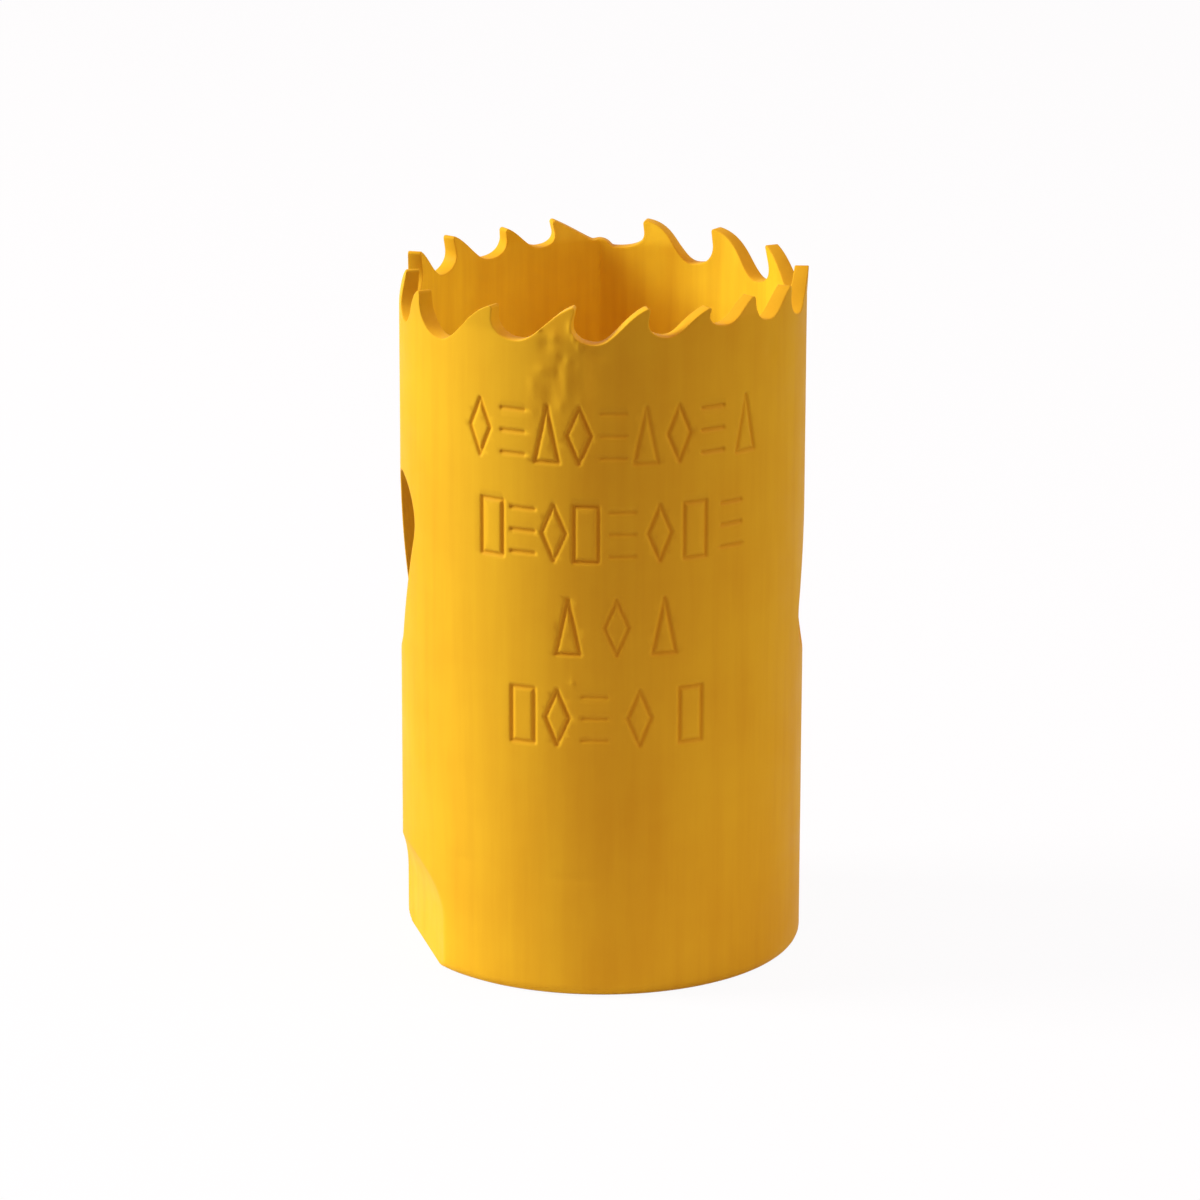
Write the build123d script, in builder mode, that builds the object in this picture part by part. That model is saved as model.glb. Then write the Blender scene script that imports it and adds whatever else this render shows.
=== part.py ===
"""Bi-metal hole saw, 30 mm cut, stood on its back with the teeth up.

Millimetres and degrees. The origin is the middle of the back face and +Z runs
up the axis towards the teeth. Bearings are counted from the front, -Y, and
grow counter-clockwise seen from above, which is the way the teeth face.
"""
from build123d import *
from math import cos, radians, sin, tan
import os

# Driving dimensions ---------------------------------------------------------
body_radius = 14.6          # outside of the rolled strip: set tips reach 15.0, the cut size
wall = 1.2                  # thickness of the strip
overall_height = 50.5       # back face to tooth tips
back_edge_round = 0.8       # rounded outer edge of the back

cap_thickness = 8.0         # solid end plate welded into the strip
cap_edge_chamfer = 0.3      # edge that takes the weld
thread_minor_radius = 5.73  # 1/2-20 UNF arbor thread, before tapping
thread_mouth_chamfer = 0.8  # countersink that leads the arbor in
thread_exit_chamfer = 0.4   # the same on the inside of the cup

slot_length = 14.2          # two slots that let a stuck core be pushed out
slot_width = 6.4
slot_height = 29.2          # middle of the slot above the back
slot_bearing = -85.2
slot_lean = 21.0            # top of each slot leans towards the tooth faces

flat_bearing = -77.0        # spanner flat ground on the lower edge
flat_distance = 13.25       # from the axis to the flat
flat_height = 3.9           # plain part of the flat
flat_run_out = 7.0          # radius the grinding wheel leaves above it
run_out_sweep = 45.0        # as much of that arc as clears the wall

seam_bearing = 541.0        # butt weld that closes the strip, after the last tooth
seam_ridge_radius = 1.1     # weld metal left standing in that gullet
seam_ridge_height = 49.05   # top of it

# One row per tooth: bearing of its tip, depth of the gullet after it, how far
# its tip is set out (or in, below zero), the slope of its back at the tip, the
# share of the back that is nearly straight there, and its height over the rest.
# The pitch varies round the rim so that the saw doesn't chatter.
teeth = [
    (195.8, 1.8, 0.5, 24, 0.46, 0.0),
    (212.7, 2.2, -0.3, 18, 0.46, -0.1),
    (233.4, 2.5, 0.1, 18, 0.46, 0.0),
    (256.5, 2.9, 0.0, 16, 0.46, 0.0),
    (280.0, 3.4, -0.3, 16, 0.46, 0.0),
    (300.2, 3.4, 0.5, 16, 0.46, -0.35),
    (329.0, 2.5, 0.5, 16, 0.46, -0.15),
    (352.2, 2.5, -0.4, 16, 0.46, 0.0),
    (373.4, 2.1, 0.0, 16, 0.46, 0.0),
    (391.3, 1.7, 0.3, 16, 0.46, -0.25),
    (408.8, 2.0, -0.3, 16, 0.46, -0.15),
    (427.0, 2.6, 0.0, 16, 0.46, -0.25),
    (448.5, 3.1, 0.2, 16, 0.46, 0.0),
    (477.0, 3.1, -0.4, 16, 0.46, 0.0),
    (504.6, 2.8, 0.1, 4, 0.6, 0.0),
    (528.1, 2.0, 0.5, 2, 0.6, 0.0),
]
tip_thickness = 1.0         # the strip thins a little towards the cutting edge
straight_above_gullet = 0.2 # a tooth bends this far above its shallower gullet
rake = 12.0                 # the face hooks back under the tip
face_share = 0.42           # part of a gullet's depth that the face takes
hook_reach = 1.6            # how hard the curve under the face swings back
hook_drop = 0.8             # part of the depth where it does
floor_reach = 0.35          # reach of the curve that arrives at the floor
gullet_share = 0.27         # how far along its pitch a gullet is deepest
back_start_share = 0.33     # reach of the curve that leaves the floor

# Worked out from them -------------------------------------------------------
inner_radius = body_radius - wall
root_margin = 0.5                   # plain wall left between the deepest gullet and the ring
root_height = overall_height - max(row[1] for row in teeth) - root_margin
loft_margin = 2.0                   # the gaps are cut this far inside and outside the wall
cut_inside = inner_radius - loft_margin
cut_outside = body_radius + loft_margin
clearance = 1.0                     # how far cutters run past what they cut


def plane_at(bearing, distance):
    """A plane that faces outward at a bearing: x along the rim, y up."""
    turn = radians(bearing)
    outward = (sin(turn), -cos(turn), 0)
    along = (cos(turn), sin(turn), 0)
    origin = (distance * outward[0], distance * outward[1], 0)
    return Plane(origin=origin, x_dir=along, z_dir=outward)


def half_plane_at(bearing):
    """A plane through the axis at a bearing: x is the radius, y is the height."""
    turn = radians(bearing)
    outward = (sin(turn), -cos(turn), 0)
    return Plane(origin=(0, 0, 0), x_dir=outward, z_dir=(-cos(turn), -sin(turn), 0))


def next_tip(number):
    """Bearing of the tooth after this one, counted on past a full turn."""
    following = teeth[(number + 1) % len(teeth)][0]
    return following if following > teeth[number][0] else following + 360


def gullet_bearing(number):
    """Bearing of the deepest point of the gullet that follows this tooth."""
    tip = teeth[number][0]
    return tip + gullet_share * (next_tip(number) - tip)


def gap_section(number, distance):
    """The gap that follows this tooth, on a plane at a distance from the axis.

    Sections at two distances widen in proportion, so the faces lofted between
    them point at the axis, as they do on a strip toothed flat and then rolled.
    """
    tip, depth = teeth[number][:2]
    rise = teeth[number][5]
    relief, end_share, next_rise = teeth[(number + 1) % len(teeth)][3:]
    pitch = radians(next_tip(number) - tip) * body_radius
    middle = (tip + next_tip(number)) / 2

    def point(along, below):
        angle = (along - pitch / 2) / body_radius
        return (distance * tan(angle), overall_height - below)

    face_depth = face_share * depth
    hook = face_depth * tan(radians(rake))
    lowest = gullet_share * pitch
    back = pitch - lowest
    face_end = point(-hook, face_depth)
    face_aim = point(-hook * hook_reach, depth * hook_drop)
    floor_aim = point(lowest * floor_reach, depth)
    floor = point(lowest, depth)
    back_aim = point(lowest + back_start_share * back, depth)
    straight = end_share * back
    relief_aim = point(pitch - straight, straight * tan(radians(relief)) - next_rise)
    with BuildSketch(plane_at(middle, distance)) as section:
        with BuildLine():
            Line(point(0, -rise), face_end)
            Bezier(face_end, face_aim, floor_aim, floor)
            Bezier(floor, back_aim, relief_aim, point(pitch, -next_rise))
            Line(point(pitch, -next_rise), point(pitch, -clearance))
            Line(point(pitch, -clearance), point(0, -clearance))
            Line(point(0, -clearance), point(0, -rise))
        make_face()
        if number == len(teeth) - 1:
            ridge_along = distance * tan(radians(seam_bearing - middle))
            with Locations((ridge_along, seam_ridge_height - seam_ridge_radius)):
                Circle(seam_ridge_radius, mode=Mode.SUBTRACT)
    return section.sketch


def tooth(number):
    """One tooth: a stretch of wall from gullet to gullet that leans above its bend."""
    start = gullet_bearing(number - 1)
    end = gullet_bearing(number)
    depths = (teeth[number - 1][1], teeth[number][1])
    bend_height = overall_height - min(depths) + straight_above_gullet
    lean = teeth[number][2]
    thinning = (wall - tip_thickness) / 2
    with BuildPart() as stretch:
        with BuildSketch(half_plane_at(start)):
            with BuildLine():
                Polyline(
                    (inner_radius, root_height),
                    (body_radius, root_height),
                    (body_radius, bend_height),
                    (body_radius + lean - thinning, overall_height),
                    (inner_radius + lean + thinning, overall_height),
                    (inner_radius, bend_height),
                    close=True,
                )
            make_face()
        revolve(axis=Axis.Z, revolution_arc=(end - start) % 360)
        for gap in (number - 1, number):
            sections = [gap_section(gap, distance) for distance in (cut_inside, cut_outside)]
            loft(sections=sections, ruled=True, mode=Mode.SUBTRACT)
    return stretch.part


def back_flat():
    """The cutter for the spanner flat: plain at the foot, then a wheel's run-out."""
    foot = flat_distance
    outside = body_radius + clearance
    with BuildPart() as cutter:
        with BuildSketch(half_plane_at(flat_bearing)):
            with BuildLine():
                Line((foot, -clearance), (foot, flat_height))
                JernArc((foot, flat_height), (0, 1), flat_run_out, -run_out_sweep)
                run_out_end = (
                    foot + flat_run_out * (1 - cos(radians(run_out_sweep))),
                    flat_height + flat_run_out * sin(radians(run_out_sweep)),
                )
                Line(run_out_end, (outside + clearance, run_out_end[1]))
                Line((outside + clearance, run_out_end[1]), (outside + clearance, -clearance))
                Line((outside + clearance, -clearance), (foot, -clearance))
            make_face()
        extrude(amount=body_radius, both=True)
    return cutter.part


# The strip: rolled, butt-welded and toothed ---------------------------------
with BuildPart() as shell:
    with BuildSketch(half_plane_at(0)):
        with Locations(((inner_radius + body_radius) / 2, root_height / 2)):
            Rectangle(wall, root_height)
    revolve(axis=Axis.Z)
    back_edge = shell.edges().filter_by(GeomType.CIRCLE).group_by(Axis.Z)[0].sort_by(SortBy.RADIUS)[-1]
    fillet(back_edge, radius=back_edge_round)

    # two leaning slots, punched square to the wall
    for side in (0, 180):
        with BuildSketch(plane_at(slot_bearing + side, inner_radius - clearance)):
            with Locations((0, slot_height)):
                SlotOverall(slot_length, slot_width, rotation=90 - slot_lean)
        extrude(amount=wall + 2 * clearance, mode=Mode.SUBTRACT)

    add(back_flat(), mode=Mode.SUBTRACT)
    add([tooth(number) for number in range(len(teeth))])

# The back: a turned plate, welded in, with the arbor's thread ----------------
with BuildPart() as cap:
    with BuildSketch():
        Circle(inner_radius)
        Circle(thread_minor_radius, mode=Mode.SUBTRACT)
    extrude(amount=cap_thickness)
    bore_edges = cap.edges().filter_by(GeomType.CIRCLE).group_by(SortBy.RADIUS)[0].sort_by(Axis.Z)
    chamfer(bore_edges[0], length=thread_mouth_chamfer)
    chamfer(bore_edges[-1], length=thread_exit_chamfer)
    rim_edges = cap.edges().filter_by(GeomType.CIRCLE).group_by(SortBy.RADIUS)[-1].sort_by(Axis.Z)
    chamfer(rim_edges[0], length=cap_edge_chamfer)
    add(back_flat(), mode=Mode.SUBTRACT)

shell.part.label = "toothed_shell"
cap.part.label = "arbor_cap"

os.makedirs("parts", exist_ok=True)
export_step(shell.part, "parts/toothed_shell.step")
export_step(cap.part, "parts/arbor_cap.step")
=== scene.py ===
"""Enamelled bi-metal hole saw: its looks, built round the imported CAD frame.

Lengths are metres where a user sets them and millimetres in the working.
Bearings are degrees from the front, -Y, counted counter-clockwise seen from
above, which is the way the teeth face.
"""

from math import cos, pi, radians, sin, tan
from types import SimpleNamespace

import bmesh
import bpy
import numpy as np
from bpy.props import FloatProperty, FloatVectorProperty, PointerProperty
from mathutils import Euler, Matrix, Vector
from mathutils.geometry import delaunay_2d_cdt
from mathutils.kdtree import KDTree


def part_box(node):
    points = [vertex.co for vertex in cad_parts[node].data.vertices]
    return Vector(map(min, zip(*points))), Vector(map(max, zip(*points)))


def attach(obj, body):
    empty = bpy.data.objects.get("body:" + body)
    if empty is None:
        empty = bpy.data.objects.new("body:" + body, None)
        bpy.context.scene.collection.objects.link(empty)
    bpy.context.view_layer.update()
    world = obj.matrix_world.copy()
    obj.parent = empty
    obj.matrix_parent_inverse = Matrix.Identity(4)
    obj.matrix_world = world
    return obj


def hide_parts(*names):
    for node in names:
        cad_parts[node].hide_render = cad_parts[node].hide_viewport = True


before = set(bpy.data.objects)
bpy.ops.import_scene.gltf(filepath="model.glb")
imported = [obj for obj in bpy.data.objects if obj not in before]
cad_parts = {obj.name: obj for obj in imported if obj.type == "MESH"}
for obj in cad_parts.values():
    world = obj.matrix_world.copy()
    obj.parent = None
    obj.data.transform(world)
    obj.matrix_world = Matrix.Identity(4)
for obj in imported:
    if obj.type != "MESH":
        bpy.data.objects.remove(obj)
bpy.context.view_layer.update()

bl_info = {
    "name": "Hole Saw",
    "version": (1, 0, 0),
    "blender": (4, 5, 0),
    "location": "3D View > Sidebar > Hole Saw",
    "description": "Builds an enamelled bi-metal hole saw round its CAD frame",
    "category": "Add Mesh",
}

MM = 0.001

# One row per tooth: bearing of its tip, depth of the gullet after it, how far
# its tip is set out (or in, below zero), the slope of its back at the tip, the
# share of the back that is nearly straight there, and its height over the rest.
TEETH = (
    (195.8, 1.8, 0.5, 24, 0.46, 0.0),
    (212.7, 2.2, -0.3, 18, 0.46, -0.1),
    (233.4, 2.5, 0.1, 18, 0.46, 0.0),
    (256.5, 2.9, 0.0, 16, 0.46, 0.0),
    (280.0, 3.4, -0.3, 16, 0.46, 0.0),
    (300.2, 3.4, 0.5, 16, 0.46, -0.35),
    (329.0, 2.5, 0.5, 16, 0.46, -0.15),
    (352.2, 2.5, -0.4, 16, 0.46, 0.0),
    (373.4, 2.1, 0.0, 16, 0.46, 0.0),
    (391.3, 1.7, 0.3, 16, 0.46, -0.25),
    (408.8, 2.0, -0.3, 16, 0.46, -0.15),
    (427.0, 2.6, 0.0, 16, 0.46, -0.25),
    (448.5, 3.1, 0.2, 16, 0.46, 0.0),
    (477.0, 3.1, -0.4, 16, 0.46, 0.0),
    (504.6, 2.8, 0.1, 4, 0.6, 0.0),
    (528.1, 2.0, 0.5, 2, 0.6, 0.0),
)
SEAM = 181.0                # bearing of the butt weld, where the strip is unrolled
RAKE = 12.0                 # the face of a tooth hooks back under its tip
FACE_SHARE = 0.42           # part of a gullet's depth that the face takes
HOOK_REACH = 1.6            # how hard the curve under the face swings back
HOOK_DROP = 0.8             # part of the depth where it does
FLOOR_REACH = 0.35          # reach of the curve that arrives at the floor
FLOOR_SHARE = 0.27          # how far along its pitch a gullet is deepest
BACK_REACH = 0.33           # reach of the curve that leaves the floor
BEND_ABOVE = 0.2            # a tooth bends this far above its shallower gullet
BEND_EASE = 0.25            # share of a tooth's height over which it bends
RIM_STEP = 0.12             # spacing of points along the toothed edge
RIDGE_RADIUS = 1.1          # weld metal left standing in the gullet at the weld
RIDGE_MIDDLE = 47.95        # height of its middle
RIDGE_BLEND = 0.15          # how softly it runs into the gullet
PEAK_REACH = 4.5            # the strip's ends stay straight this far from the weld
PEAK_CURVE = 1.4            # how they draw in to it
PEAK_OUTSIDE = 0.15         # how far out the weld stands on the outside
PEAK_INSIDE = 0.5           # and how far out it is drawn on the inside
PEAK_HEIGHTS = (10.0, 42.0)  # from none of it, held round by the plate, to all of it
RIPPLE = 0.012              # height of the waves that rolling leaves
RIPPLE_WAVES = 14
SLOTS = (274.8, 454.8)      # bearings of the two slots
SLOT_LEAN = 21.0            # top of each slot leans towards the tooth faces
FLAT = 284.0                # bearing of the spanner flat
FLAT_RUN_OUT = 7.0          # radius the grinding wheel leaves above the flat
FLAT_BLEND = 0.16           # how softly the flat runs into the wall
FLAT_FOOT_BLEND = 0.08      # and into the rounded edge of the back
FOOT_ROUND = 0.12           # radius that paint leaves on the flat's lower edge
SLOT_ROUND = 0.12           # radius that paint leaves on the slots' edges
CELL = 0.96                 # largest spacing of points on the strip, halved as needed
TOOTHED_ABOVE = 45.5        # every gullet ends above this height
BORDER = 0.1                # points of a face keep this far from its ends, foot and slots
PARTS = 60                  # long lists of points are worked through in so many parts
FAR = 99.0                  # further off than any part of the saw

MOUTH_CHAMFER = 0.8         # countersink that leads the arbor in
EXIT_CHAMFER = 0.4          # the same on the inside of the cup
CREST_FLAT = 1 / 4          # flats of the thread, as shares of its pitch
ROOT_FLAT = 1 / 8
WELD_BEAD = 0.35            # radius of the bead round the plate inside the cup
PLATE_LAP = 0.02            # the plate's rim runs this far into the strip
BEHIND_FLAT = 0.08          # the plate stays this far behind the face of the flat

STREAK_SQUEEZE = 0.06       # draws a noise out along the axis, into streaks
MARK_SHADE_SHARE = 0.65         # how far a mark goes to the deeper colour, painted shade in its hollow

# The stage, in metres and degrees: where each lamp stands, its width and its height.
KEY_PLACE, KEY_SIZE = (-0.53, 0.0, 0.3), (0.22, 0.24)
SIDE_PLACE, SIDE_SIZE = (0.37, -0.08, 0.235), (0.25, 0.3)
LAMP_AIM = (0, 0, 0.025)
PAPER_REACH = 1.5
PAPER_NEAR, PAPER_FAR = 0.05, 0.11      # between these the paper's bounce fades
PLAIN_WHITE = 0.94                      # share of the floor that is plain white to the eye
ROOM_COLOUR = (1, 0.5, 0.66, 1)         # a reddish fill, which only lights and isn't seen
ROOM_HORIZON, ROOM_ZENITH = 0.15, 2.0   # shares of the room's light at its foot and overhead
CAMERA_PLACE = (-0.00004, -0.4020, 0.1436)
CAMERA_DOWN, CAMERA_TURN, CAMERA_ROLL = 16.39, 0.016, 0.17
CAMERA_LENS, CAMERA_SENSOR = 172.9, 36  # in millimetres

# Rows of punched marks: height of the middle of the row, half the height of a
# mark, then the bearing and the shape of each mark, and how hard it was struck.
MARK_ROWS = (
    (41.5, 2.0, (
        (-36.0, "diamond", 1.0), (-25.5, "dashes", 0.8), (-15.5, "triangle", 0.9),
        (-6.5, "diamond", 1.0), (3.0, "dashes", 0.5), (12.0, "triangle", 0.7),
        (21.5, "diamond", 0.9), (32.0, "dashes", 0.9), (43.5, "triangle", 0.9),
    )),
    (34.4, 2.0, (
        (-32.0, "square", 1.0), (-22.5, "dashes", 0.9), (-13.5, "diamond", 0.8),
        (-4.5, "square", 1.0), (5.5, "dashes", 0.6), (16.0, "diamond", 0.9),
        (26.5, "square", 0.9), (38.5, "dashes", 0.9),
    )),
    (27.6, 2.0, ((-9.5, "triangle", 1.0), (4.0, "diamond", 0.8), (17.5, "triangle", 0.9))),
    (20.9, 2.0, (
        (-22.5, "square", 0.9), (-12.5, "diamond", 1.0), (-2.0, "dashes", 0.6),
        (10.5, "diamond", 0.9), (25.5, "square", 1.0),
    )),
)
# Strokes of each mark, as half widths and half heights from its middle.
STROKES = {
    "diamond": ((-1, 0, 0, 1), (0, 1, 1, 0), (1, 0, 0, -1), (0, -1, -1, 0)),
    "triangle": ((-1, -1, 0, 1), (0, 1, 1, -1), (1, -1, -1, -1)),
    "square": ((-1, -1, -1, 1), (-1, 1, 1, 1), (1, 1, 1, -1), (1, -1, -1, -1)),
    "dashes": ((-1, -0.8, 1, -0.8), (-1, 0, 1, 0), (-1, 0.8, 1, 0.8)),
}
MARK_HALF_WIDTH = 0.85
STROKE_FLOOR = 0.04         # half the flat floor of a stroke, as a share of its width
STROKE_SIDE = 0.52          # how wide its side is, the same way
# Knocks in the outside of the wall: bearing, height, half width round the
# strip, half height, and depth (below zero where the metal or paint stands up).
KNOCKS = (
    (-15.8, 47.9, 0.45, 0.50, 0.106),
    (-11.2, 47.0, 0.30, 0.38, 0.088),
    (-16.8, 46.1, 0.50, 0.42, -0.081),
    (-9.9, 45.3, 0.34, 1.35, -0.075),
    (-14.6, 44.2, 0.45, 0.95, 0.088),
    (-9.2, 49.2, 0.17, 0.45, -0.100),
    (-7.9, 48.6, 0.17, 0.45, -0.100),
    (-6.5, 48.0, 0.22, 0.45, -0.100),
    (-1.0, 47.3, 0.45, 0.30, 0.088),
    (-13.4, 48.5, 0.32, 0.40, -0.069),
    (-5.4, 45.4, 0.60, 2.00, 0.075),
    (-19.4, 44.9, 0.35, 0.80, -0.056),
    (-12.4, 46.0, 0.22, 0.50, 0.056),
    (-6.0, 43.8, 0.35, 0.60, -0.044),
    (-17.6, 42.9, 0.30, 0.50, 0.050),
    (-11.4, 43.6, 0.25, 0.45, -0.050),
    (-8.0, 46.6, 0.28, 0.35, 0.056),
    (54.0, 46.1, 0.60, 0.90, 0.080),
    (-8.2, 23.5, 0.18, 0.18, -0.080),
    (-17.9, 49.0, 0.18, 0.22, -0.125),
    (-42.0, 9.2, 1.50, 0.30, 0.050),
    (-6.0, 8.9, 2.20, 0.35, 0.050),
)


# Sizes and finishes that a user would change --------------------------------
def length(name, description, default):
    """A length in metres, kept and shown in the scene's units."""
    return FloatProperty(
        name=name, description=description, default=default, min=0.0, unit="LENGTH", precision=5
    )


def linear(code):
    """The linear colour of an sRGB hex code."""
    values = [int(code[place:place + 2], 16) / 255 for place in (1, 3, 5)]
    return [v / 12.92 if v <= 0.04045 else ((v + 0.055) / 1.055) ** 2.4 for v in values]


def colour(name, description, code):
    """A colour that a user may pick, from its sRGB hex code."""
    return FloatVectorProperty(
        name=name, description=description, subtype="COLOR", size=3, min=0.0, max=1.0,
        default=linear(code),
    )


class HoleSawSizes(bpy.types.PropertyGroup):
    """Sizes of the strip, its teeth, slots and flat, and of the back plate."""

    body_radius: length("Body radius", "Outside of the rolled strip", 14.6 * MM)
    wall: length("Wall", "Thickness of the strip", 1.2 * MM)
    tip_thickness: length("Tip thickness", "Thickness of the strip at a tooth's tip", 1.0 * MM)
    height: length("Height", "Back face to tooth tips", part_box("toothed_shell")[1].z)
    back_round: length("Back edge round", "Radius of the outer edge of the back", 0.8 * MM)
    edge_round: length("Edge round", "Radius that paint leaves on the cut edges", 0.08 * MM)
    tip_round: length("Tip round", "Radius that paint leaves on a tooth's point", 0.2 * MM)
    slot_length: length("Slot length", "Overall length of a slot", 14.2 * MM)
    slot_width: length("Slot width", "Width of a slot", 6.25 * MM)
    slot_height: length("Slot height", "Middle of a slot above the back", 28.9 * MM)
    flat_distance: length("Flat distance", "From the axis to the spanner flat", 13.25 * MM)
    flat_height: length("Flat height", "Height of the plain part of the flat", 3.9 * MM)
    mark_depth: length("Mark depth", "Depth of the hardest struck mark", 0.15 * MM)
    mark_stroke: length("Mark stroke", "Width of a mark's stroke", 0.45 * MM)
    cap_thickness: length("Cap thickness", "Thickness of the back plate", 8.0 * MM)
    thread_minor: length("Thread minor radius", "Crest of the arbor thread", 5.73 * MM)
    thread_major: length("Thread major radius", "Root of the arbor thread", 6.35 * MM)
    thread_pitch: length("Thread pitch", "Twenty threads to the inch", 1.27 * MM)


class HoleSawFinish(bpy.types.PropertyGroup):
    """Colours and gloss of the enamel."""

    enamel: colour("Enamel", "Golden yellow of a full coat", "#EEC32A")
    # the deeper colour is a thick coat where it ran, and painted shade in the punched marks
    enamel_thick_and_mark_shade: colour("Thick enamel", "Where the coat has run or pooled", "#E0AA22")
    # a lighter copy of the enamel for the cup's inside, painted light there
    enamel_inside_painted_light: colour("Enamel inside", "Fresher, lighter coat inside the cup", "#FDDC32")
    gloss: FloatProperty(
        name="Roughness", description="Roughness of the enamel", default=0.5, min=0.0, max=1.0
    )


class HoleSawStudio(bpy.types.PropertyGroup):
    """Strength of the lamps and of the room."""

    key: FloatProperty(
        name="Key", description="Softbox on the left", default=4.0, min=0.0, unit="POWER"
    )
    side: FloatProperty(
        name="Side", description="Softbox on the right", default=0.58, min=0.0, unit="POWER"
    )
    room: FloatProperty(name="Room", description="Light from all round", default=0.38, min=0.0)


def in_mm(group):
    """The sizes of a property group, in millimetres."""
    names = group.bl_rna.properties.keys()
    lengths = {n: getattr(group, n) / MM for n in names if n not in ("rna_type", "name")}
    return SimpleNamespace(**lengths)


# The strip, unrolled: distance round it from the weld, and height ------------
def round_strip(bearing, size):
    """How far round the unrolled strip a bearing is."""
    return radians(bearing - SEAM) * size.body_radius


def bearing_at(along, size):
    """Bearing of a distance round the unrolled strip."""
    return SEAM + np.degrees(along / size.body_radius)


def eased(value):
    """Runs from 0 to 1 with no corner at either end."""
    value = np.clip(value, 0, 1)
    return value * value * (3 - 2 * value)


def softer_min(a, b, reach):
    """The lesser of two values, blended where they are within reach of each other."""
    share = np.clip(0.5 + 0.5 * (b - a) / reach, 0, 1)
    return b + (a - b) * share - reach * share * (1 - share)


def bezier(corners, steps):
    """Points along a cubic curve, without its last."""
    t = np.linspace(0, 1, steps, endpoint=False)[:, None]
    a, b, c, d = (np.array(corner, float) for corner in corners)
    return a * (1 - t) ** 3 + 3 * b * t * (1 - t) ** 2 + 3 * c * t * t * (1 - t) + d * t ** 3


def spaced(path, spacing):
    """The same path with points at an even spacing."""
    steps = np.hypot(*np.diff(path, axis=0).T)
    run = np.concatenate([[0], np.cumsum(steps)])
    count = max(2, int(round(run[-1] / spacing)) + 1)
    even = np.linspace(0, run[-1], count)
    return np.c_[np.interp(even, run, path[:, 0]), np.interp(even, run, path[:, 1])]


def next_tip(number):
    """Bearing of the tooth after this one, counted on past a full turn."""
    following = TEETH[(number + 1) % len(TEETH)][0]
    return following if following > TEETH[number][0] else following + 360


def floor_bearings():
    """Bearing of the deepest point of each gullet."""
    return [row[0] + FLOOR_SHARE * (next_tip(n) - row[0]) for n, row in enumerate(TEETH)]


def point_angle(number):
    """Angle between the face and the back of a tooth at its tip."""
    return pi / 2 - radians(RAKE + TEETH[number][3])


def sharp_height(number, size):
    """Height of a tooth's tip before paint rounds it down to its height in the CAD."""
    angle = point_angle(number)
    lean = radians(RAKE) + angle / 2
    return size.height + TEETH[number][5] + size.tip_round * (cos(lean) / sin(angle / 2) - 1)


def gap_edge(number, size):
    """Edge of the metal in the gap after a tooth, between the two rounded points."""
    following = (number + 1) % len(TEETH)
    tip, depth = TEETH[number][:2]
    relief, end_share = TEETH[following][3:5]
    rise = sharp_height(number, size) - size.height
    next_rise = sharp_height(following, size) - size.height
    pitch = radians(next_tip(number) - tip) * size.body_radius
    face = FACE_SHARE * depth
    hook = face * tan(radians(RAKE))
    lowest = FLOOR_SHARE * pitch
    back = pitch - lowest
    straight = end_share * back
    aim = (pitch - straight, straight * tan(radians(relief)) - next_rise)
    start = np.array((0, -rise))
    under = np.array((-hook, face))
    swing = (-HOOK_REACH * hook, HOOK_DROP * depth)
    curve = np.vstack([
        start + np.linspace(0, 1, 60)[:-1, None] * (under - start),
        bezier((under, swing, (FLOOR_REACH * lowest, depth), (lowest, depth)), 120),
        bezier(((lowest, depth), (lowest + BACK_REACH * back, depth), aim, (pitch, -next_rise)), 200),
        [(pitch, -next_rise)],
    ])
    run = np.concatenate([[0], np.cumsum(np.hypot(*np.diff(curve, axis=0).T))])
    first = size.tip_round / tan(point_angle(number) / 2)
    last = size.tip_round / tan(point_angle(following) / 2)
    kept = (run > first) & (run < run[-1] - last)
    curve = spaced(curve[kept], RIM_STEP)
    return np.c_[round_strip(tip, size) + curve[:, 0], size.height - curve[:, 1]]


def rounded_point(number, before, after, size):
    """The arc that paint leaves on a tooth's point, from its back to its face."""
    tip = np.array((round_strip(TEETH[number][0], size), sharp_height(number, size)))
    pull = sin(point_angle(number) / 2)
    t = np.linspace(0, 1, 9)[1:-1, None]
    shares = (1 - t) ** 2, 2 * pull * t * (1 - t), t * t
    return (before * shares[0] + tip * shares[1] + after * shares[2]) / sum(shares)


def rim_edge(size):
    """The toothed edge from the weld right round to the weld again."""
    around = 2 * pi * size.body_radius
    gaps = [gap_edge(number, size) for number in range(len(TEETH))]
    before = gaps[-1][-1] - (around, 0)
    parts = []
    for number, gap in enumerate(gaps):
        parts += [rounded_point(number, before, gap[0], size), gap]
        before = gap[-1]
    edge = np.vstack(parts)
    # only the last points are looked at, where the edge runs steadily past the weld
    weld_height = np.interp(around, *edge[-60:].T)
    past = edge[:, 0] > around - 1e-6
    edge = np.vstack([
        [(0, weld_height)], edge[past] - (around, 0), edge[~past], [(around, weld_height)],
    ])
    # weld metal left standing where the ends of the strip meet
    beside = np.minimum(edge[:, 0], around - edge[:, 0])
    ridge = RIDGE_MIDDLE + np.sqrt(np.maximum(RIDGE_RADIUS ** 2 - beside ** 2, 0))
    ridge = np.where(beside < RIDGE_RADIUS, ridge, -FAR)
    edge[:, 1] = -softer_min(-edge[:, 1], -ridge, RIDGE_BLEND)
    # points that all but coincide would make slivers
    keep = np.concatenate([[True], np.hypot(*np.diff(edge, axis=0).T) > RIM_STEP / 4])
    keep[-1] = True
    return edge[keep]


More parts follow.
